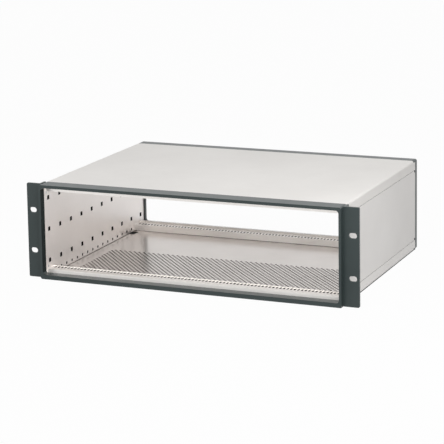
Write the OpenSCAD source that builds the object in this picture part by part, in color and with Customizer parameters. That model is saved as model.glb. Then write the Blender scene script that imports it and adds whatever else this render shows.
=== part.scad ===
// 19 inch subrack case, three height units, for plug-in boards: an open chassis of perforated side plates
// and slotted rails, closed by sheet covers between a front and a rear frame, with two rack ears.
// X runs across the rack, Y runs from front to back, Z is up. The origin is on the rack's mounting plane,
// the back face of the ears, midway between them and at half height. All lengths are in millimetres.

/* [Rack size] */
// Width of the case between the ears
case_w = 438.8; // [400:0.2:520]
// Height of the case, three height units less the gap between neighbours
case_h = 132.55; // [125:0.05:140]
// Distance of the front frame's face before the mounting plane
front_reach = 11.4; // [8:0.2:20]
// Distance of the rear frame's face behind the mounting plane
rear_reach = 324; // [280:1:440]

/* [Frames] */
// Height of the front frame's top bar
front_top_bar_h = 4.2; // [3.6:0.1:7]
// Height of the front frame's bottom bar
front_bottom_bar_h = 5.9; // [4:0.1:7]
// Height of the rear frame's top and bottom bars
rear_bar_h = 8.4; // [8:0.1:8.8]
// Depth of the front frame's bars, as far as the front rails
front_bar_d = 14.4; // [13:0.2:18]
// Depth of the rear frame's bars, as far as the rear rails
rear_bar_d = 20; // [19:0.5:26]
// Depth of the front frame's lip before the side plates
front_lip_d = 10.8; // [6:0.2:12]
// Depth of the rear frame's lip behind the side plates
rear_lip_d = 6; // [4:0.5:7]
// Distance that the rear frame's lip stands inside the side plates
rear_lip_step = 1.5; // [0:0.1:2]
// Depth of the front frame over the covers and panels
front_frame_d = 23.4; // [22:0.2:30]
// Depth of the rear frame over the top and bottom covers
rear_frame_d = 16.4; // [14:0.2:20]
// Depth of the rear frame over the side panels
rear_frame_side_d = 9.2; // [8.8:0.1:12]
// Radius of the frames' and covers' long outer edges
corner_r = 3; // [2:0.5:5]
// Radius in the corners of the frames' openings
opening_r = 4; // [2:0.5:8]

/* [Sheets] */
// Thickness of the covers and side panels
sheet_t = 0.9; // [0.7:0.05:1.1]
// Height of the covers' folded sides
cover_side_h = 14.6; // [10:0.2:20]
// Length of the tongues that hold the covers and panels under the frames
tongue_l = 3; // [2:0.5:3.5]
// Play between a tongue's end and the frame
tongue_gap = 0.2; // [0.1:0.1:0.4]
// Distance of the cover tongues' ends from the side plates
tongue_inset = 6; // [3:0.5:12]
// Gap between a cover's folded side and the side panel
seam = 0.4; // [0.2:0.1:1]
// Length of the notches at the side panels' rear corners
notch_l = 4; // [2:0.5:6]
// Height of the notches at the side panels' rear corners
notch_h = 3; // [2:0.5:5]

/* [Ventilation] */
// Diameter of the bottom cover's holes
vent_d = 6; // [3:0.5:8]
// Spacing of the holes along a row
vent_pitch = 12.7; // [10.16:0.02:20]
// Spacing of every second row
vent_row_pitch = 13.8; // [11:0.2:20]
// Distance of the last row of holes behind the mounting plane
vent_back = 165; // [100:1:200]
// Bare margin between the first row's holes and the front rail
vent_front_gap = 4; // [2:0.5:20]
// Bare margin between the holes and the side plates
vent_side_gap = 17; // [12:0.5:40]
// Width of the cut-outs along the side plates
side_slot_w = 9; // [4:0.5:14]
// Length of the cut-outs along the side plates
side_slot_l = 10; // [3:0.5:14]
// Distance of the front cut-outs from the front rail
front_slot_gap = 29; // [10:0.5:40]
// Distance of the rear cut-outs from the rear rail
rear_slot_gap = 11; // [3:0.5:20]

/* [Side plates] */
// Thickness of the side plates
plate_t = 1.6; // [1.5:0.1:2.5]
// Width and height of the square windows
window = 6; // [4:0.5:8]
// Spacing of the windows from front to back
window_pitch = 32.7; // [26:0.1:36]
// Spacing of the three rows of windows, one height unit
window_row = 44.45; // [40:0.05:46]
// Distance of the first windows behind the mounting plane
window_start = 11; // [8:0.5:18]
// Diameter of the small holes
pin_hole_d = 4; // [2.5:0.1:4.5]
// Distance of the small holes' rows from the side plates' long edges
pin_inset = 3.975; // [3:0.025:8]

/* [Rails] */
// Depth of a front rail
front_rail_d = 20; // [19:0.5:26]
// Depth of a rear rail
rear_rail_d = 18; // [17:0.5:26]
// Height of a rail at its slotted wall
rail_h = 8.8; // [8:0.1:12]
// Height of a front rail's outer lip above the slotted wall
front_rail_lip = 0.4; // [0.2:0.1:3]
// Height of a rear rail's outer lip above the slotted wall
rear_rail_lip = 2.6; // [0.2:0.1:3]
// Height of the inner bead above the slotted wall
rail_bead = 1; // [0.3:0.1:2]
// Wall of the rail
rail_wall = 1.4; // [1.2:0.1:1.6]
// Spacing of the slots and threads, a fifth of an inch
hp = 5.08; // [5.08:0.01:5.2]
// Least bare length at a rail's ends
rail_end = 2; // [1:0.1:20]
// Width of a slot across the rail's length
slot_w = 2.6; // [2:0.1:3]
// Length of a slot from front to back
slot_l = 4; // [3.2:0.1:5]
// Distance of the slots' centres from a front rail's outer face
front_slot_at = 13.5; // [12:0.1:15]
// Distance of the slots' centres from a rear rail's outer face
rear_slot_at = 12; // [12:0.1:13]
// Height of the threaded strip's centre from the rail's outer side
strip_at = 2.8; // [2.7:0.05:3.2]
// Height of the threaded strip
strip_h = 3.6; // [3.2:0.1:3.7]
// Thickness of the threaded strip
strip_t = 2; // [1.6:0.1:2.2]
// Play of the threaded strip in its channel
strip_play = 0.1; // [0.05:0.05:0.2]
// Diameter of the strip's threads
strip_thread_d = 2.5; // [2:0.1:2.6]
// Opening of the strip's channel
strip_mouth = 2.7; // [2.65:0.05:2.9]

/* [Ears] */
// Width of an ear beside the case
ear_w = 21.9; // [20:0.1:30]
// Thickness of an ear
ear_t = 3; // [2:0.1:4]
// Radius of an ear's outer corners
ear_corner_r = 2; // [1:0.5:4]
// Distance of the mounting slots' centres from an ear's outer edge
mount_inset = 8.75; // [8:0.05:11]
// Spacing of the mounting slots up the rack
mount_h = 57.15; // [50:0.05:80]
// Length of a mounting slot
mount_slot_l = 11; // [8:0.1:12]
// Width of a mounting slot
mount_slot_w = 7.4; // [5:0.1:8]

/* [Screws] */
// Diameter of the rail and ear screws
screw_d = 4; // [3:0.1:4]
// Height of their countersunk heads
screw_head_h = 1.5; // [1:0.1:1.5]
// Length of a rail screw
rail_screw_l = 14; // [8:1:25]
// Distance of the rail screws from the rail's outer face
rail_screw_at = 6.5; // [6.3:0.1:6.9]
// Distance of the ear screws below the case's top and above its bottom
ear_screw_inset = 14.275; // [12:0.025:17]
// Distance of the ear screws behind the mounting plane
ear_screw_y = 6; // [4:0.5:7]
// Diameter of the screws that hold the rear frame
frame_screw_d = 2.5; // [2:0.1:2.6]
// Height of their countersunk heads
frame_screw_head_h = 1; // [0.8:0.1:1.2]
// Number of threads between a rear frame screw and the rail's end
frame_screw_hp = 6; // [2:1:20]

/* [Hidden] */
$fn = 48;
eps = 0.01;

slate = [0.25, 0.28, 0.29];
light_grey = [0.86, 0.85, 0.83];
aluminium = [0.78, 0.76, 0.74];
zinc = [0.66, 0.67, 0.68];

half_w = case_w / 2;
half_h = case_h / 2;
rack_w = case_w + 2 * ear_w;
mount_w = rack_w - 2 * mount_inset;
ear_screw_z = half_h - ear_screw_inset;
front_y = -front_reach;

// A frame's wall covers a sheet's tongue and lies flush with the sheet
frame_wall = 2 * sheet_t;
chassis_x = half_w - frame_wall;
chassis_z = half_h - frame_wall;
bay_x = chassis_x - plate_t;
pin_row = chassis_z - pin_inset;

// Where the frames end and the covers and panels start
cover_front = front_y + front_frame_d;
cover_rear = rear_reach - rear_frame_d;
panel_rear = rear_reach - rear_frame_side_d;

// The rails stand against the frames' bars
front_rail_y = front_y + front_bar_d;
rear_rail_y = rear_reach - rear_bar_d;
slots = floor(2 * (bay_x - rail_end) / hp);
slot_span = (slots - 1) * hp;
strip_l = slots * hp;
channel_h = strip_h + 2 * strip_play;
channel_d = strip_t + strip_play;

seam_z = half_h - cover_side_h;
panel_z = seam_z - seam;
frame_screw_x = slot_span / 2 - frame_screw_hp * hp;
frame_screw_z = chassis_z - strip_at;

// A flat shape drawn in X and Z, given depth from y towards the back
module deep(y, depth) {
    translate([0, y + depth, 0]) rotate([90, 0, 0]) linear_extrude(depth) children();
}

module rounded_rect(w, h, r) {
    square([w - 2 * r, h], center = true);
    square([w, h - 2 * r], center = true);
    for (sx = [-1, 1])
        for (sy = [-1, 1])
            translate([sx * (w / 2 - r), sy * (h / 2 - r)]) circle(r);
}

module both_sides() {
    children();
    mirror([1, 0, 0]) children();
}

module top_and_bottom() {
    children();
    mirror([0, 0, 1]) children();
}

// One frame with its face at y = 0 and its walls running towards +Y
module frame_shell(depth, side_depth, lip_d, lip_x, bar_d, top_bar_h, bottom_bar_h) {
    opening_h = case_h - top_bar_h - bottom_bar_h;
    difference() {
        deep(0, depth) rounded_rect(case_w, case_h, corner_r);
        translate([0, 0, (bottom_bar_h - top_bar_h) / 2])
            deep(-eps, lip_d + 2 * eps) rounded_rect(2 * lip_x, opening_h, opening_r);
        deep(lip_d, depth) square([2 * chassis_x, 2 * chassis_z], center = true);
        frame_rebates(depth, side_depth);
    }
    translate([0, lip_d - eps, 0]) {
        frame_bar(bar_d - lip_d + eps, top_bar_h);
        mirror([0, 0, 1]) frame_bar(bar_d - lip_d + eps, bottom_bar_h);
    }
}

module frame_bar(depth, height) {
    translate([-bay_x, 0, half_h - height]) cube([2 * bay_x, depth, height - frame_wall]);
}

// Room for the tongues, and the part of the side walls that the side panels replace
module frame_rebates(depth, side_depth) {
    rebate = tongue_l + tongue_gap;
    deep(depth - rebate, rebate + eps)
        square([2 * (bay_x - tongue_inset) + 2 * tongue_gap, case_h - 2 * sheet_t], center = true);
    deep(side_depth - rebate, depth) square([case_w - 2 * sheet_t, 2 * panel_z], center = true);
    deep(side_depth, depth) square([case_w + 2 * eps, case_h - 2 * corner_r], center = true);
}

module front_frame() {
    color(slate)
        difference() {
            translate([0, front_y, 0])
                frame_shell(front_frame_d, front_frame_d, front_lip_d, bay_x, front_bar_d,
                    front_top_bar_h, front_bottom_bar_h);
            both_sides() ear_screw_bores();
        }
}

module rear_frame() {
    color(slate)
        difference() {
            translate([0, rear_reach, 0])
                mirror([0, 1, 0])
                    frame_shell(rear_frame_d, rear_frame_side_d, rear_lip_d, bay_x - rear_lip_step,
                        rear_bar_d, rear_bar_h, rear_bar_h);
            rear_frame_screw_bores();
        }
}

// An angle whose front leg meets the rack and whose side leg lies on the front frame
module rack_ear() {
    color(slate)
        difference() {
            translate([half_w, 0, 0]) {
                deep(-ear_t, ear_t)
                    intersection() {
                        translate([ear_w - rack_w / 2, 0]) rounded_rect(rack_w, case_h, ear_corner_r);
                        translate([0, -case_h / 2]) square([ear_w, case_h]);
                    }
                translate([0, -ear_t, -half_h]) cube([ear_t, ear_t + cover_front, case_h]);
            }
            top_and_bottom() mount_slot();
            ear_screw_bores();
        }
}

module mount_slot() {
    straight = mount_slot_l - mount_slot_w;
    translate([mount_w / 2, 0, mount_h / 2]) {
        translate([-straight / 2, -ear_t - eps, -mount_slot_w / 2])
            cube([straight, ear_t + 2 * eps, mount_slot_w]);
        for (side = [-1, 1])
            translate([side * straight / 2, eps, 0])
                rotate([90, 0, 0]) cylinder(h = ear_t + 2 * eps, d = mount_slot_w);
    }
}

// A countersunk screw along -Z with its head's face at z = 0
module countersunk(d, head_h, length) {
    translate([0, 0, -head_h]) cylinder(h = head_h, d1 = d, d2 = d + 2 * head_h);
    translate([0, 0, -length]) cylinder(h = length - head_h + eps, d = d);
}

module ear_screw_places() {
    for (z = [-ear_screw_z, ear_screw_z])
        translate([half_w + ear_t, ear_screw_y, z]) rotate([0, 90, 0]) children();
}

module ear_screw_bores() {
    ear_screw_places() countersunk(screw_d, screw_head_h, ear_t + frame_wall + plate_t);
}

module rear_frame_screw_places() {
    for (x = [-frame_screw_x, frame_screw_x])
        for (z = [-frame_screw_z, frame_screw_z])
            translate([x, rear_reach, z]) rotate([-90, 0, 0]) children();
}

module rear_frame_screw_bores() {
    rear_frame_screw_places() countersunk(frame_screw_d, frame_screw_head_h, rear_bar_d + eps);
}

// A folded cover seen from the top: a flat sheet, two sides folded down, and a tongue at each end
module cover_shell() {
    deep(cover_front, cover_rear - cover_front) cover_section();
    both_sides()
        translate([half_w - sheet_t, cover_rear - eps, seam_z])
            cube([sheet_t, panel_rear - cover_rear + eps, half_h - corner_r - seam_z]);
    tongue(cover_front, -1);
    tongue(cover_rear, 1);
}

module cover_section() {
    difference() {
        rounded_rect(case_w, case_h, corner_r);
        rounded_rect(case_w - 2 * sheet_t, case_h - 2 * sheet_t, corner_r - sheet_t);
        translate([-case_w, -case_h]) square([2 * case_w, case_h + seam_z]);
    }
}

// A strip stepped down by one sheet's thickness, from the cover's edge at y outwards
module tongue(y, outwards) {
    width = 2 * (bay_x - tongue_inset);
    start = outwards > 0 ? y - sheet_t : y - tongue_l;
    step = outwards > 0 ? y - sheet_t : y;
    translate([-width / 2, start, half_h - 2 * sheet_t]) cube([width, tongue_l + sheet_t, sheet_t]);
    translate([-width / 2, step, half_h - 2 * sheet_t]) cube([width, sheet_t, 2 * sheet_t]);
}

module top_cover() {
    color(light_grey) cover_shell();
}

module bottom_cover() {
    color(light_grey)
        mirror([0, 0, 1])
            difference() {
                cover_shell();
                translate([0, 0, half_h - sheet_t - eps])
                    linear_extrude(sheet_t + 2 * eps) {
                        vent_holes();
                        both_sides() side_slots();
                    }
            }
}

// Staggered rows of holes over the front half of the cover
module vent_holes() {
    front = front_rail_y + front_rail_d + vent_front_gap + vent_d / 2;
    rows = floor((vent_back - front) / (vent_row_pitch / 2));
    columns = floor((bay_x - vent_side_gap - vent_d / 2) / vent_pitch);
    for (row = [0:rows])
        for (column = [-columns:columns - row % 2])
            translate([(column + (row % 2) / 2) * vent_pitch, vent_back - row * vent_row_pitch / 2])
                circle(d = vent_d, $fn = 24);
}

module side_slots() {
    front = front_rail_y + front_rail_d + front_slot_gap;
    rear = rear_rail_y - rear_rail_d - rear_slot_gap - side_slot_l;
    for (y = [front, rear])
        translate([bay_x - side_slot_w, y]) square([side_slot_w, side_slot_l]);
}

module side_panel() {
    length = panel_rear - cover_front;
    tongue_z = panel_z - notch_h;
    color(light_grey)
        difference() {
            union() {
                translate([half_w - sheet_t, cover_front, -panel_z]) cube([sheet_t, length, 2 * panel_z]);
                translate([half_w - 2 * sheet_t, cover_front - tongue_l, -tongue_z])
                    cube([sheet_t, tongue_l + sheet_t, 2 * tongue_z]);
                translate([half_w - 2 * sheet_t, cover_front, -tongue_z])
                    cube([2 * sheet_t, sheet_t, 2 * tongue_z]);
                translate([half_w - 2 * sheet_t, panel_rear - sheet_t, -tongue_z])
                    cube([sheet_t, tongue_l + sheet_t, 2 * tongue_z]);
            }
            top_and_bottom()
                translate([half_w - sheet_t - eps, panel_rear - notch_l, panel_z - notch_h])
                    cube([sheet_t + 2 * eps, notch_l + eps, notch_h + eps]);
        }
}

// The chassis wall: three rows of windows and a row of small holes along each edge
module side_plate() {
    front = front_y + front_lip_d;
    rear = rear_reach - rear_lip_d;
    windows = floor((rear - window_start - window) / window_pitch);
    color(aluminium)
        difference() {
            translate([bay_x, front, -chassis_z]) cube([plate_t, rear - front, 2 * chassis_z]);
            for (i = [0:windows])
                for (row = [-1:1])
                    translate([bay_x - eps, window_start + i * window_pitch - window / 2,
                            row * window_row - window / 2])
                        cube([plate_t + 2 * eps, window, window]);
            top_and_bottom()
                for (i = [2:2 * windows - 2])
                    translate([bay_x - eps, window_start + i * window_pitch / 2, pin_row])
                        rotate([0, 90, 0]) cylinder(h = plate_t + 2 * eps, d = pin_hole_d);
            rail_screw_places() countersunk(screw_d, screw_head_h, plate_t + eps);
            ear_screw_bores();
        }
}

// A rail's section: x runs inwards from its outer face, y from its outer side towards the bay
module rail_section(depth, lip, slot_at) {
    web = rail_h - rail_wall;
    channel_start = slot_at - slot_l / 2 - rail_bead;
    difference() {
        union() {
            square([depth, rail_h]);
            square([rail_wall, rail_h + lip]);
            translate([depth - rail_wall, 0]) square([rail_wall, rail_h + rail_bead]);
        }
        translate([-eps, strip_at - strip_mouth / 2]) square([rail_wall + 2 * eps, strip_mouth]);
        translate([rail_wall, strip_at - channel_h / 2]) square([channel_d, channel_h]);
        translate([rail_screw_at, rail_h / 2]) circle(d = screw_d);
        translate([channel_start, rail_wall])
            square([depth - rail_wall - channel_start, web - rail_wall]);
    }
}

// The rail at the front and bottom: the other three are its mirror images
module rail(depth, lip, slot_at) {
    color(aluminium)
        difference() {
            translate([-bay_x, front_rail_y, -chassis_z])
                rotate([90, 0, 90]) linear_extrude(2 * bay_x) rail_section(depth, lip, slot_at);
            translate([0, front_rail_y + slot_at, rail_h - rail_wall - chassis_z - eps])
                linear_extrude(rail_wall + 2 * eps)
                    for (i = [0:slots - 1])
                        translate([i * hp - slot_span / 2, 0]) rail_slot();
        }
}

module front_rail() {
    rail(front_rail_d, front_rail_lip, front_slot_at);
}

module rear_rail() {
    rail(rear_rail_d, rear_rail_lip, rear_slot_at);
}

module rail_slot() {
    straight = slot_l - slot_w;
    square([slot_w, straight], center = true);
    for (end = [-1, 1])
        translate([0, end * straight / 2]) circle(d = slot_w);
}

module threaded_strip() {
    color(zinc)
        translate([0, front_rail_y + rail_wall + strip_play, strip_at - chassis_z])
            difference() {
                translate([-strip_l / 2, 0, -strip_h / 2]) cube([strip_l, strip_t, strip_h]);
                for (i = [0:slots - 1])
                    translate([i * hp - slot_span / 2, -eps, 0])
                        rotate([-90, 0, 0]) cylinder(h = strip_t + 2 * eps, d = strip_thread_d, $fn = 24);
            }
}

module at_top() {
    mirror([0, 0, 1]) children();
}

module at_rear() {
    translate([0, front_rail_y + rear_rail_y, 0]) mirror([0, 1, 0]) children();
}

module rail_screw_places() {
    for (y = [front_rail_y + rail_screw_at, rear_rail_y - rail_screw_at])
        for (z = [-1, 1])
            translate([chassis_x, y, z * (chassis_z - rail_h / 2)]) rotate([0, 90, 0]) children();
}

module rail_screws() {
    color(zinc) both_sides() rail_screw_places() countersunk(screw_d, screw_head_h, rail_screw_l);
}

module ear_screws() {
    length = ear_t + frame_wall + plate_t;
    color(zinc) both_sides() ear_screw_places() countersunk(screw_d, screw_head_h, length);
}

module rear_frame_screws() {
    length = rear_bar_d + rail_wall + strip_play + strip_t;
    color(zinc) rear_frame_screw_places() countersunk(frame_screw_d, frame_screw_head_h, length);
}

front_frame();
rear_frame();
mirror([1, 0, 0]) rack_ear();  // rack_ear_left
rack_ear();  // rack_ear_right
top_cover();
bottom_cover();
mirror([1, 0, 0]) side_panel();  // side_panel_left
side_panel();  // side_panel_right
mirror([1, 0, 0]) side_plate();  // side_plate_left
side_plate();  // side_plate_right
at_top() front_rail();  // rail_front_top
front_rail();  // rail_front_bottom
at_rear() at_top() rear_rail();  // rail_rear_top
at_rear() rear_rail();  // rail_rear_bottom
at_top() threaded_strip();  // threaded_strip_front_top
threaded_strip();  // threaded_strip_front_bottom
at_rear() at_top() threaded_strip();  // threaded_strip_rear_top
at_rear() threaded_strip();  // threaded_strip_rear_bottom
rail_screws();
ear_screws();
rear_frame_screws();
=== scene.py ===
"""Open 19 inch subrack case: slate frames and ears, light grey covers, bare metal inside."""
import math

import bmesh
import bpy
from mathutils import Matrix, Vector
from mathutils.geometry import delaunay_2d_cdt


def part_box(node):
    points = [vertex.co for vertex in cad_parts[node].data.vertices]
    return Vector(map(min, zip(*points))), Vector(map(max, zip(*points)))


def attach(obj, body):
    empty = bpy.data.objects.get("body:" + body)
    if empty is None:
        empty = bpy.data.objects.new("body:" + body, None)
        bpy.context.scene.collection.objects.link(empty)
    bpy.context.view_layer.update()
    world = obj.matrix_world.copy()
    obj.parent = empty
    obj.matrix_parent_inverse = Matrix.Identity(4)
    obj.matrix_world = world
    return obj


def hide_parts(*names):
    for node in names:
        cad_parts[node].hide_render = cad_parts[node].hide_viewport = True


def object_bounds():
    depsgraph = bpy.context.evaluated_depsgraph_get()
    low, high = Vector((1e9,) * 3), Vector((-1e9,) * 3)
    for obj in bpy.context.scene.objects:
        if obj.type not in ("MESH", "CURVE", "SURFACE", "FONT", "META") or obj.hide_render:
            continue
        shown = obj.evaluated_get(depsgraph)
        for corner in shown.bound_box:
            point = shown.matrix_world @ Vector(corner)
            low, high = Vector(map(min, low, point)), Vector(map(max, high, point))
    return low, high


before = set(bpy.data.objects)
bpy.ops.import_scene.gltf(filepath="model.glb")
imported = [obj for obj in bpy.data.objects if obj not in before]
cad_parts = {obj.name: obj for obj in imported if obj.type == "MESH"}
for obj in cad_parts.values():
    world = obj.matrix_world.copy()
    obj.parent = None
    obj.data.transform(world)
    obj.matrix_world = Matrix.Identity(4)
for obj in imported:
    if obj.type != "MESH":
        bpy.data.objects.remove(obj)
cad_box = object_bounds()
MM = 0.001
SHEET = 0.9 * MM            # thickness of the covers and side panels


# ---------------------------------------------------------------- materials

def new_material(name):
    material = bpy.data.materials.new(name)
    material.use_nodes = True
    nodes = material.node_tree.nodes
    return material, nodes, material.node_tree.links, nodes["Principled BSDF"]


def noise(nodes, links, scale, detail=3.0, stretch=(1, 1, 1)):
    """A noise texture over the object's own metres, stretched along its axes."""
    coords = nodes.new("ShaderNodeTexCoord")
    mapping = nodes.new("ShaderNodeMapping")
    mapping.inputs["Scale"].default_value = stretch
    texture = nodes.new("ShaderNodeTexNoise")
    texture.inputs["Scale"].default_value = scale
    texture.inputs["Detail"].default_value = detail
    links.new(coords.outputs["Object"], mapping.inputs["Vector"])
    links.new(mapping.outputs["Vector"], texture.inputs["Vector"])
    return texture.outputs["Fac"]


def ramp(nodes, links, factor, stops):
    """Colours or greys by position: stops is [(position, (r, g, b)), ...]."""
    node = nodes.new("ShaderNodeValToRGB")
    for index, (position, colour) in enumerate(stops):
        if index < 2:
            element = node.color_ramp.elements[index]
            element.position = position
        else:
            element = node.color_ramp.elements.new(position)
        element.color = (*colour, 1)
    links.new(factor, node.inputs["Fac"])
    return node.outputs["Color"]


def grey_range(nodes, links, factor, low, high):
    node = nodes.new("ShaderNodeMapRange")
    node.inputs["To Min"].default_value = low
    node.inputs["To Max"].default_value = high
    links.new(factor, node.inputs["Value"])
    return node.outputs["Result"]


def add_bump(nodes, links, shader, height, strength, distance):
    bump = nodes.new("ShaderNodeBump")
    bump.inputs["Strength"].default_value = strength
    bump.inputs["Distance"].default_value = distance
    links.new(height, bump.inputs["Height"])
    links.new(bump.outputs["Normal"], shader.inputs["Normal"])


def worn_edges(nodes, links, colour, worn, amount, radius):
    """Mixes a worn colour in along sharp edges, where a bevelled normal leaves the true one."""
    bevel = nodes.new("ShaderNodeBevel")
    bevel.inputs["Radius"].default_value = radius
    geometry = nodes.new("ShaderNodeNewGeometry")
    dot = nodes.new("ShaderNodeVectorMath")
    dot.operation = "DOT_PRODUCT"
    links.new(bevel.outputs["Normal"], dot.inputs[0])
    links.new(geometry.outputs["Normal"], dot.inputs[1])
    edge = nodes.new("ShaderNodeMapRange")
    edge.inputs["From Min"].default_value = 0.97
    edge.inputs["From Max"].default_value = 0.75
    edge.inputs["To Min"].default_value = 0.0
    edge.inputs["To Max"].default_value = amount
    links.new(dot.outputs["Value"], edge.inputs["Value"])
    mix = nodes.new("ShaderNodeMix")
    mix.data_type = "RGBA"
    mix.inputs["B"].default_value = (*worn, 1)
    links.new(edge.outputs["Result"], mix.inputs["Factor"])
    links.new(colour, mix.inputs["A"])
    return mix.outputs["Result"]


def math_node(nodes, links, operation, *values):
    """One math node: each value is a socket or a number."""
    node = nodes.new("ShaderNodeMath")
    node.operation = operation
    for socket, value in zip(node.inputs, values):
        if isinstance(value, (int, float)):
            socket.default_value = value
        else:
            links.new(value, socket)
    return node.outputs["Value"]


def zone_mask(nodes, links, zones):
    """1 in any of the zones, else 0. A zone gives ranges of |x|, y, |z| and of the normal's |x| and |z|."""
    coords = nodes.new("ShaderNodeTexCoord")
    parts = {}
    for prefix, output in (("", "Object"), ("n", "Normal")):
        split = nodes.new("ShaderNodeSeparateXYZ")
        links.new(coords.outputs[output], split.inputs[0])
        for axis in "XYZ":
            value = split.outputs[axis]
            parts[prefix + axis.lower()] = value if axis == "Y" else math_node(nodes, links, "ABSOLUTE", value)
    mask = 0.0
    for zone in zones:
        inside = 1.0
        for part, (low, high) in zone.items():
            near = math_node(nodes, links, "COMPARE", parts[part], (low + high) / 2, (high - low) / 2)
            inside = math_node(nodes, links, "MULTIPLY", near, inside)
        mask = math_node(nodes, links, "MAXIMUM", inside, mask)
    return mask


def blend(nodes, links, factor, first, second):
    """Mixes two colours: first is a socket, second a socket or plain (r, g, b)."""
    mix = nodes.new("ShaderNodeMix")
    mix.data_type = "RGBA"
    links.new(factor, mix.inputs["Factor"])
    links.new(first, mix.inputs["A"])
    if isinstance(second, tuple):
        mix.inputs["B"].default_value = (*second, 1)
    else:
        links.new(second, mix.inputs["B"])
    return mix.outputs["Result"]


def shade_zones(nodes, links, shader, colour, zones, painted_shade, gloss=0.5):
    """Paints shade on the zones: gives them the dark painted-shade colour and takes most of their gloss."""
    mask = zone_mask(nodes, links, zones)
    left = math_node(nodes, links, "SUBTRACT", 1.0, math_node(nodes, links, "MULTIPLY", mask, 0.9))
    links.new(math_node(nodes, links, "MULTIPLY", left, gloss), shader.inputs["Specular IOR Level"])
    return blend(nodes, links, mask, colour, painted_shade)


def powder_coat(name, dark, light, worn, wear, roughness, zones=(), painted_shade=(0.03, 0.03, 0.03), bare=(),
                gloss=0.5):
    """Fine-grained powder coat with faint cloudy variation and lighter edges; bare metal in the bare zones, and
    painted shade in the shade zones.
    """
    material, nodes, links, shader = new_material(name)
    cloud = noise(nodes, links, 9.0, 4.0)
    colour = ramp(nodes, links, cloud, [(0.35, dark), (0.65, light)])
    colour = worn_edges(nodes, links, colour, worn, wear, 0.0006)
    if bare:
        mask = zone_mask(nodes, links, bare)
        metal = ramp(nodes, links, noise(nodes, links, 14.0, 5.0), [(0.3, BARE_DARK), (0.7, BARE_LIGHT)])
        colour = blend(nodes, links, mask, colour, metal)
        links.new(math_node(nodes, links, "MULTIPLY", mask, 0.6), shader.inputs["Metallic"])
    if zones:
        colour = shade_zones(nodes, links, shader, colour, zones, painted_shade, gloss)
    links.new(colour, shader.inputs["Base Color"])
    rough = grey_range(nodes, links, noise(nodes, links, 60.0), *roughness)
    if bare:
        smoother = math_node(nodes, links, "MULTIPLY", mask, 0.3)
        rough = math_node(nodes, links, "MULTIPLY", rough, math_node(nodes, links, "SUBTRACT", 1.0, smoother))
    links.new(rough, shader.inputs["Roughness"])
    add_bump(nodes, links, shader, noise(nodes, links, 2500.0, 2.0), 0.12, 0.0001)
    return material


def brushed_metal(name, dark, light, stretch, roughness, metallic, zones=(), painted_shade=(0.015, 0.015, 0.015)):
    """Bare metal with drawing lines along one axis and faint handling marks, and painted shade in the zones."""
    material, nodes, links, shader = new_material(name)
    lines = noise(nodes, links, 900.0, 2.0, stretch)
    colour = ramp(nodes, links, noise(nodes, links, 14.0, 5.0), [(0.3, dark), (0.7, light)])
    colour = worn_edges(nodes, links, colour, (0.93, 0.93, 0.92), 0.2, 0.0004)
    if zones:
        colour = shade_zones(nodes, links, shader, colour, zones, painted_shade)
    links.new(colour, shader.inputs["Base Color"])
    links.new(grey_range(nodes, links, lines, *roughness), shader.inputs["Roughness"])
    shader.inputs["Metallic"].default_value = metallic
    add_bump(nodes, links, shader, lines, 0.08, 0.00005)
    return material


BARE_DARK, BARE_LIGHT = (0.71, 0.665, 0.63), (0.77, 0.725, 0.69)       # zinc-passivated sheet

# Zones of a finish, where it turns to bare metal and where shade is painted on, all found by where a face is and
# which way it looks. The ranges of x and z hold for both signs, since the case is symmetric.
SKIN = 0.1 * MM             # how far a zone reaches past the face that it is for
STEEP, LEVEL = {"nz": (-0.5, 0.5)}, {"nz": (0.5, 1.5)}
EDGEWISE, SIDEWAYS = {"nx": (-0.5, 0.5)}, {"nx": (0.5, 1.5)}
plate_in, plate_out = (corner.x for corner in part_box("side_plate_right"))
cover_base = abs(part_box("bottom_cover")[0].z)
rail_front, rail_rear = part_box("rail_front_bottom")[0].y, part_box("rail_rear_bottom")[1].y
rail_base = abs(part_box("rail_front_bottom")[0].z)
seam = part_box("side_panel_right")[1].z + 0.4 * MM


def near(value, reach=SKIN):
    return value - reach, value + reach


# painted shade on the walls of the plates' windows and pin holes, and on the plates' outer sides, which show through
# the panels' seams
WINDOW_SHADE_ZONES = [{"x": (plate_in - SKIN, plate_out + SKIN), "y": (1 * MM, 316 * MM), "z": (0, 63 * MM), **EDGEWISE},
                {"x": near(plate_out), **SIDEWAYS}]
# painted shade on the panels' inner sides, seen through the windows, and on their upper and lower edges in the seams
PANEL_SHADE_ZONES = [{"x": (plate_out - SKIN, plate_out + SHEET + 0.01 * MM), **SIDEWAYS}, LEVEL]
# painted shade on the covers' edges in the seams along the side panels
SEAM_SHADE_ZONES = [{"z": near(seam), **LEVEL}]
# painted shade on the walls of the bottom cover's vent holes
VENT_SHADE_ZONES = [{"x": (0, 216.5 * MM), "y": (24 * MM, 285 * MM), "z": (cover_base - SHEET, cover_base), **STEEP}]
# painted shade on the walls of the rails' slots, and in the hollow behind them
SLOT_SHADE_ZONES = [
    {"x": (0, 214.5 * MM), "y": (rail_front + 10.5 * MM, rail_front + 18.5 * MM),
     "z": (rail_base - 8.9 * MM, rail_base - 7.3 * MM), **STEEP},
    {"x": (0, 214.5 * MM), "y": (rail_rear - 16.3 * MM, rail_rear - 9.1 * MM),
     "z": (rail_base - 8.9 * MM, rail_base - 7.3 * MM), **STEEP},
    {"y": (rail_front + 10.5 * MM, rail_front + 18.7 * MM), "z": (rail_base - 7.41 * MM, rail_base - 1.3 * MM)},
    {"y": (rail_rear - 16.7 * MM, rail_rear - 9.0 * MM), "z": (rail_base - 7.41 * MM, rail_base - 1.3 * MM)},
]
# the covers' bare inner sides, and the front frame's inner sides, which lie in its own shade
INSIDE_ZONES = [{"z": near(cover_base - SHEET, SKIN / 2), **LEVEL}]
# painted shade on the front frame's inner sides
LIP_SHADE_ZONES = [{"x": near(plate_in, 2 * SKIN), "y": (-12.5 * MM, 0.5 * MM), **SIDEWAYS}]

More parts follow.
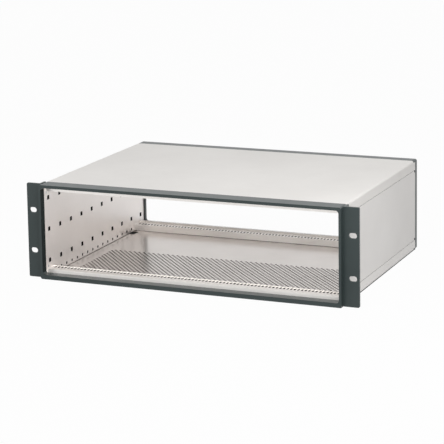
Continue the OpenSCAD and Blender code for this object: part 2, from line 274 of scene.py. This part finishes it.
slate = powder_coat("slate_powder_coat", (0.027, 0.038, 0.038), (0.035, 0.047, 0.047), (0.10, 0.12, 0.12), 0.2,
                    (0.28, 0.36), LIP_SHADE_ZONES, (0.015, 0.022, 0.022), gloss=0.32)
COVER_DARK, COVER_LIGHT, COAT_WORN = (0.70, 0.68, 0.655), (0.74, 0.72, 0.695), (0.80, 0.79, 0.78)
cover_grey = powder_coat("light_grey_powder_coat", COVER_DARK, COVER_LIGHT, COAT_WORN, 0.3,
                         (0.38, 0.5), SEAM_SHADE_ZONES, (0.04, 0.04, 0.04), INSIDE_ZONES)
floor_grey = powder_coat("bottom_cover_coat", COVER_DARK, COVER_LIGHT, COAT_WORN, 0.3,
                         (0.26, 0.36), VENT_SHADE_ZONES + SEAM_SHADE_ZONES, (0.04, 0.03, 0.025), INSIDE_ZONES)
panel_grey = powder_coat("side_panel_powder_coat", (0.70, 0.68, 0.66), (0.74, 0.72, 0.70), COAT_WORN, 0.3,
                         (0.38, 0.5), PANEL_SHADE_ZONES, (0.02, 0.02, 0.02))
plate_metal = brushed_metal("passivated_plate", (0.91, 0.865, 0.84), (0.95, 0.905, 0.88), (0.06, 1, 1),
                            (0.34, 0.44), 0.75, WINDOW_SHADE_ZONES)
rail_metal = brushed_metal("extruded_aluminium", (0.93, 0.895, 0.86), (0.96, 0.925, 0.89), (0.02, 1, 1),
                           (0.30, 0.40), 0.55, SLOT_SHADE_ZONES, (0.008, 0.008, 0.008))
zinc = brushed_metal("zinc_plated_steel", (0.55, 0.56, 0.57), (0.66, 0.67, 0.68), (1, 1, 1), (0.30, 0.45), 0.9)

FINISH = {
    "front_frame": slate, "rear_frame": slate, "rack_ear_left": slate, "rack_ear_right": slate,
    "top_cover": cover_grey, "bottom_cover": floor_grey,
    "side_panel_left": panel_grey, "side_panel_right": panel_grey,
    "side_plate_left": plate_metal, "side_plate_right": plate_metal,
}
for name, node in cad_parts.items():
    finish = FINISH.get(name)
    if finish is None:
        finish = rail_metal if name.startswith("rail_") and name != "rail_screws" else zinc
    node.data.materials.clear()
    node.data.materials.append(finish)


# ---------------------------------------------------------------- the bottom cover's true field of holes

BEND = 3.0 * MM             # outer radius of the covers' folds
TONGUE = 3.0 * MM           # length of the tongues under the frames
TONGUE_INSET = 9.4 * MM     # from a cover's side to the ends of its tongues
REAR_BAR = 16.4 * MM        # depth of the rear frame's bars, where the covers' flat part ends
VENT_PITCH, VENT_ROWS = 7.62 * MM, 4.13 * MM
VENT_RADIUS = 1.8 * MM
VENT_GAP = 4 * MM           # from the front rail to the first holes
VENT_BACK = 165 * MM        # the last row, behind the rack's mounting plane
VENT_HALF_WIDTH = 195 * MM
CUT_OUT_WIDTH = 9 * MM
CUT_OUTS = ((52 * MM, 62 * MM), (261 * MM, 279 * MM))   # start and end of the cut-outs along the side plates


def triangulate(outline, holes):
    """Triangles of a flat outline with holes: each loop and each triangle is a list of (x, y)."""
    points, faces = [], []
    for loop in [outline] + holes:
        faces.append(list(range(len(points), len(points) + len(loop))))
        points += [Vector(p) for p in loop]
    made, _, triangles, *_ = delaunay_2d_cdt(points, [], faces, 2, 1e-7)
    return [[tuple(made[i]) for i in triangle] for triangle in triangles]


def vent_field(front):
    """Triangles of the staggered rows of holes, counted from the back, and the field's outline."""
    half_x, half_y = VENT_PITCH / 2, VENT_ROWS / 2
    columns = int(VENT_HALF_WIDTH / VENT_PITCH)
    rows = int((VENT_BACK - front) / VENT_ROWS)
    side = (columns + 1) * VENT_PITCH
    rim = [(-half_x, -half_y), (0, -half_y), (half_x, -half_y), (half_x, half_y), (0, half_y), (-half_x, half_y)]
    hole = [(VENT_RADIUS * math.cos(k * math.pi / 8), -VENT_RADIUS * math.sin(k * math.pi / 8)) for k in range(16)]
    cell = triangulate(rim, [hole])
    end = triangulate([(side - half_x, -half_y), (side, -half_y), (side, half_y), (side - half_x, half_y)], [])
    field = []
    for row in range(rows + 1):
        odd, y = row % 2, VENT_BACK - row * VENT_ROWS
        for column in range(-columns - odd, columns + 1):
            x = (column + odd / 2) * VENT_PITCH
            field += [[(x + px, y + py) for px, py in triangle] for triangle in cell]
        if not odd:
            field += [[(px, y + py) for px, py in triangle] for triangle in end]
            field += [[(-px, y + py) for px, py in reversed(triangle)] for triangle in end]
    low, high = VENT_BACK - rows * VENT_ROWS - half_y, VENT_BACK + half_y
    steps = range(-2 * columns - 2, 2 * columns + 3)
    outline = [(i * half_x, low) for i in steps]
    outline += [(side, low + i * VENT_ROWS) for i in range(1, rows + 1)]
    outline += [(-i * half_x, high) for i in steps]
    outline += [(-side, high - i * VENT_ROWS) for i in range(1, rows + 1)]
    return field, outline


def solid_sheet(bm, triangles, z_low, z_high):
    """Adds a flat sheet: its two faces, and walls along every edge that only one triangle has."""
    corners, faces = {}, []
    for triangle in triangles:
        faces.append([corners.setdefault((round(x, 7), round(y, 7)), len(corners)) for x, y in triangle])
    low = [bm.verts.new((x, y, z_low)) for x, y in corners]
    high = [bm.verts.new((x, y, z_high)) for x, y in corners]
    edges = set()
    for face in faces:
        bm.faces.new([high[i] for i in face])
        bm.faces.new([low[i] for i in reversed(face)])
        edges.update(zip(face, face[1:] + face[:1]))
    for i, j in edges:
        if (j, i) not in edges:
            bm.faces.new((low[i], low[j], high[j], high[i]))


def prism(bm, profile, start, end):
    """Adds a profile of (x, z) points, run along Y."""
    rings = [[bm.verts.new((x, y, z)) for x, z in profile] for y in (start, end)]
    count = len(profile)
    for i in range(count):
        bm.faces.new((rings[0][i], rings[0][(i + 1) % count], rings[1][(i + 1) % count], rings[1][i]))
    bm.faces.new(rings[0][::-1])
    bm.faces.new(rings[1])


def fold_profile(side, edge, base, top):
    """Section of a fold: up the outer side from the bend, and back down the inner side."""
    outer, inner = [], []
    for step in range(9):
        angle = step / 8 * math.pi / 2
        for radius, points in ((BEND, outer), (BEND - SHEET, inner)):
            points.append((side * (edge - BEND + radius * math.sin(angle)),
                           base + BEND - radius * math.cos(angle)))
    return outer + [(side * edge, top), (side * (edge - SHEET), top)] + inner[::-1]


def add_piece(bm, name, material, replaced):
    """Turns a bmesh into a piece of the scene that takes the place of a CAD node."""
    bmesh.ops.recalc_face_normals(bm, faces=bm.faces)
    mesh = bpy.data.meshes.new(name)
    bm.to_mesh(mesh)
    bm.free()
    mesh.materials.append(material)
    piece = bpy.data.objects.new(name, mesh)
    bpy.context.scene.collection.objects.link(piece)
    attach(piece, "root")
    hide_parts(replaced)


def make_bottom_cover():
    """The bottom cover with its true, fine perforation, in the place of the plainer CAD node."""
    lo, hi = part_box("bottom_cover")
    front, rear = lo.y + TONGUE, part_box("rear_frame")[1].y - REAR_BAR
    flat = hi.x - BEND
    bm = bmesh.new()
    outline = [(-flat, front), (flat, front), (flat, rear), (-flat, rear)]
    field, field_outline = vent_field(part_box("rail_front_bottom")[1].y + VENT_GAP + VENT_RADIUS)
    holes = [field_outline[::-1]]
    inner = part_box("side_plate_right")[0].x
    for side in (-1, 1):
        for y_low, y_high in CUT_OUTS:
            x_low, x_high = sorted((side * inner, side * (inner - CUT_OUT_WIDTH)))
            holes.append([(x_low, y_low), (x_low, y_high), (x_high, y_high), (x_high, y_low)])
    solid_sheet(bm, field + triangulate(outline, holes), lo.z, lo.z + SHEET)
    for side in (-1, 1):
        prism(bm, fold_profile(side, hi.x, lo.z, hi.z), front, rear)
        corner = [(side * hi.x, lo.z + BEND), (side * hi.x, hi.z), (side * (hi.x - SHEET), hi.z),
                  (side * (hi.x - SHEET), lo.z + BEND)]
        prism(bm, corner, rear, hi.y)
    half = hi.x - TONGUE_INSET
    tongue = [(-half, lo.z + SHEET), (half, lo.z + SHEET), (half, lo.z + 2 * SHEET), (-half, lo.z + 2 * SHEET)]
    prism(bm, tongue, front - TONGUE, front + SHEET)
    prism(bm, tongue, rear - SHEET, rear + TONGUE)
    add_piece(bm, "bottom_cover_perforated", floor_grey, "bottom_cover")


make_bottom_cover()


# ---------------------------------------------------------------- the rails, with slots as long as the photo's

HP = 5.08 * MM              # pitch of the boards, and of the rails' slots
COVER_GAP = 0.5 * MM       # left between a cover and the rails
RAIL_HEIGHT, RAIL_WALL = 8.8 * MM, 1.4 * MM
RAIL_SLOT_RADIUS = 1.3 * MM
RAIL_END = 2 * MM           # least plain length at each end of a rail
STRIP_AT, MOUTH, CHANNEL_HEIGHT, CHANNEL_DEPTH = 2.8 * MM, 2.7 * MM, 3.8 * MM, 2.1 * MM
BORE_AT, BORE_RADIUS = 6.5 * MM, 2.0 * MM
# lip at the outer side, bead at the inner one, start of the hollow, and the slots' ends, from the outer side
RAIL_SHAPES = {"rail_front": (0.4 * MM, 1.0 * MM, 10.5 * MM, (11.2 * MM, 18.0 * MM)),
               "rail_rear": (2.6 * MM, 0.2 * MM, 9.0 * MM, (9.6 * MM, 16.0 * MM))}


def rail_section(depth, lip, bead, hollow, foot):
    """Outline of a rail's section, without the web over its hollow, and its screw bore."""
    inner = depth - RAIL_WALL
    low, high = STRIP_AT - MOUTH / 2, STRIP_AT + MOUTH / 2
    channel_low, channel_high = STRIP_AT - CHANNEL_HEIGHT / 2, STRIP_AT + CHANNEL_HEIGHT / 2
    back = RAIL_WALL + CHANNEL_DEPTH
    outline = [(0, foot), (depth, foot), (depth, RAIL_HEIGHT + bead), (inner, RAIL_HEIGHT + bead), (inner, RAIL_WALL),
               (hollow, RAIL_WALL), (hollow, RAIL_HEIGHT), (RAIL_WALL, RAIL_HEIGHT), (RAIL_WALL, RAIL_HEIGHT + lip),
               (0, RAIL_HEIGHT + lip), (0, high), (RAIL_WALL, high), (RAIL_WALL, channel_high), (back, channel_high),
               (back, channel_low), (RAIL_WALL, channel_low), (RAIL_WALL, low), (0, low)]
    angles = [k * math.pi / 12 for k in range(24)]
    bore = [(BORE_AT + BORE_RADIUS * math.cos(a), RAIL_HEIGHT / 2 - BORE_RADIUS * math.sin(a)) for a in angles]
    return outline, bore


def rail_web(half, low, high, slot):
    """Triangles of the web over a rail's hollow, with one slot for each step of the board pitch."""
    centre = (slot[0] + slot[1]) / 2
    reach = (slot[1] - slot[0]) / 2 - RAIL_SLOT_RADIUS
    hole = []
    for k in range(16):
        angle = -(k + 0.5) * math.pi / 8
        end = centre + math.copysign(reach, math.sin(angle))
        hole.append((RAIL_SLOT_RADIUS * math.cos(angle), end + RAIL_SLOT_RADIUS * math.sin(angle)))
    cell = triangulate([(-HP / 2, low), (HP / 2, low), (HP / 2, high), (-HP / 2, high)], [hole])
    count = int(2 * (half - RAIL_END) / HP)
    edge = count * HP / 2
    web = []
    for i in range(count):
        x = (i + 0.5) * HP - edge
        web += [[(x + px, py) for px, py in triangle] for triangle in cell]
    for x_low, x_high in ((-half, -edge), (edge, half)):
        web += triangulate([(x_low, low), (x_high, low), (x_high, high), (x_low, high)], [])
    return web


def make_rail(kind, place):
    """One rail: the same section for the pair at the front and for the pair at the rear."""
    name = kind + "_" + place
    lip, bead, hollow, slot = RAIL_SHAPES[kind]
    lo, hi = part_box(name)
    depth = hi.y - lo.y
    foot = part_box("bottom_cover")[0].z + SHEET + COVER_GAP + rail_base
    outline, bore = rail_section(depth, lip, bead, hollow, foot)
    bm = bmesh.new()
    solid_sheet(bm, triangulate(outline, [bore]), lo.x, hi.x)
    for vertex in bm.verts:
        vertex.co = vertex.co.z, vertex.co.x, vertex.co.y
    solid_sheet(bm, rail_web(hi.x, hollow, depth - RAIL_WALL, slot), RAIL_HEIGHT - RAIL_WALL, RAIL_HEIGHT)
    for vertex in bm.verts:
        vertex.co.y = lo.y + vertex.co.y if kind == "rail_front" else hi.y - vertex.co.y
        vertex.co.z = lo.z + vertex.co.z if place == "bottom" else hi.z - vertex.co.z
    add_piece(bm, name + "_slotted", rail_metal, name)


for kind in RAIL_SHAPES:
    for place in ("bottom", "top"):
        make_rail(kind, place)


# ---------------------------------------------------------------- room, light and camera

def emitter(name, size, location, target, power):
    data = bpy.data.lights.new(name, "AREA")
    data.shape = "RECTANGLE"
    data.size, data.size_y = size
    data.energy = power
    lamp = bpy.data.objects.new(name, data)
    lamp.location = location
    lamp.rotation_euler = (Vector(target) - Vector(location)).to_track_quat("-Z", "Y").to_euler()
    bpy.context.scene.collection.objects.link(lamp)


def shows_white(nodes, links):
    """1 for the rays that show the white background: the camera's, and those seen in metal or glass."""
    path = nodes.new("ShaderNodeLightPath")
    seen = math_node(nodes, links, "MAXIMUM", path.outputs["Is Camera Ray"], path.outputs["Is Glossy Ray"])
    return math_node(nodes, links, "MAXIMUM", seen, path.outputs["Is Transmission Ray"])


FLOOR_WHITE = 0.97          # share of plain white in the floor's look, which leaves a faint shadow
FLOOR_HALF = 6              # half of the floor's side, in metres
WORLD_STRENGTH = 0.38
box_lo, box_hi = cad_box
floor_z = box_lo[2] - 0.5 * MM
floor_corners = [(x * FLOOR_HALF, y * FLOOR_HALF, floor_z) for x, y in ((-1, -1), (1, -1), (1, 1), (-1, 1))]
floor_mesh = bpy.data.meshes.new("floor")
floor_mesh.from_pydata(floor_corners, [], [(0, 1, 2, 3)])
floor = bpy.data.objects.new("floor", floor_mesh)
bpy.context.scene.collection.objects.link(floor)
floor_material, nodes, links, shader = new_material("floor_white")
floor_tone = ramp(nodes, links, noise(nodes, links, 1.5), [(0.3, (0.44, 0.44, 0.44)), (0.7, (0.48, 0.48, 0.48))])
# what shows through the vents: the shade under the case, between the ears
under_case = zone_mask(nodes, links, [{"x": (0, box_hi[0] - 22.9 * MM), "y": (-10 * MM, box_hi[1] - 2 * MM)}])
floor_tone = blend(nodes, links, under_case, floor_tone, (0.05, 0.05, 0.05))
links.new(floor_tone, shader.inputs["Base Color"])
shader.inputs["Roughness"].default_value = 0.9
glow = nodes.new("ShaderNodeEmission")
glow.inputs["Strength"].default_value = 1.0
lit = math_node(nodes, links, "SUBTRACT", 1.0, under_case)
white_share = math_node(nodes, links, "MULTIPLY", shows_white(nodes, links), FLOOR_WHITE)
share = math_node(nodes, links, "MULTIPLY", white_share, lit)
floor_mix = nodes.new("ShaderNodeMixShader")
links.new(share, floor_mix.inputs["Fac"])
links.new(shader.outputs["BSDF"], floor_mix.inputs[1])
links.new(glow.outputs["Emission"], floor_mix.inputs[2])
links.new(floor_mix.outputs["Shader"], nodes["Material Output"].inputs["Surface"])
floor_mesh.materials.append(floor_material)

world = bpy.data.worlds.new("studio")
bpy.context.scene.world = world
world.use_nodes = True
wn, wl = world.node_tree.nodes, world.node_tree.links
background = wn["Background"]
background.inputs["Color"].default_value = (1, 1, 1, 1)
background.inputs["Strength"].default_value = WORLD_STRENGTH
white = wn.new("ShaderNodeBackground")
white.inputs["Color"].default_value = (1, 1, 1, 1)
white.inputs["Strength"].default_value = 1.0
mix = wn.new("ShaderNodeMixShader")
wl.new(shows_white(wn, wl), mix.inputs["Fac"])
wl.new(background.outputs["Background"], mix.inputs[1])
wl.new(white.outputs["Background"], mix.inputs[2])
wl.new(mix.outputs["Shader"], wn["World Output"].inputs["Surface"])

emitter("key", (1.2, 1.2), (0.4, -0.9, 1.7), (0.05, 0.05, 0), 22)
emitter("fill_right", (0.3, 0.3), (0.6, -0.2, 0.3), (0.2, 0.05, 0), 1.1)
emitter("fill_left", (0.7, 0.5), (-1.0, -0.8, 0.3), (-0.15, 0.1, 0), 3.2)
emitter("fill_front", (2.6, 1.0), (1.0, -1.9, 0.45), (-0.1, 0.1, 0), 14)

AZIMUTH, ELEVATION, ROLL = (math.radians(a) for a in (22.904, 9.015, -0.918))
DISTANCE, FOCAL_PX, IMAGE_PX, SENSOR_MM = 2.63423, 1836.98, 444, 36
SHIFT_RIGHT, SHIFT_UP = -0.03136, 0.18129
LENS_SHIFT = -0.30882       # the view is shifted down, which keeps the uprights nearly parallel
TARGET = Vector((0, 0.197, 0))
sin_a, cos_a = math.sin(AZIMUTH), math.cos(AZIMUTH)
sin_e, cos_e = math.sin(ELEVATION), math.cos(ELEVATION)
back = Vector((sin_a * cos_e, -cos_a * cos_e, sin_e))
right = Vector((cos_a, sin_a, 0))
up = back.cross(right)
right2 = math.cos(ROLL) * right + math.sin(ROLL) * up
up2 = -math.sin(ROLL) * right + math.cos(ROLL) * up
camera_data = bpy.data.cameras.new("camera")
camera_data.sensor_width = SENSOR_MM
camera_data.lens = SENSOR_MM * FOCAL_PX / IMAGE_PX
camera_data.shift_y = LENS_SHIFT
camera_data.clip_end = 50
camera = bpy.data.objects.new("camera", camera_data)
place = TARGET + DISTANCE * back + SHIFT_RIGHT * right2 + SHIFT_UP * up2
camera.matrix_world = Matrix(((right2.x, up2.x, back.x, place.x), (right2.y, up2.y, back.y, place.y),
                              (right2.z, up2.z, back.z, place.z), (0, 0, 0, 1)))
bpy.context.scene.collection.objects.link(camera)
bpy.context.scene.camera = camera
bpy.context.scene.view_settings.view_transform = "Standard"
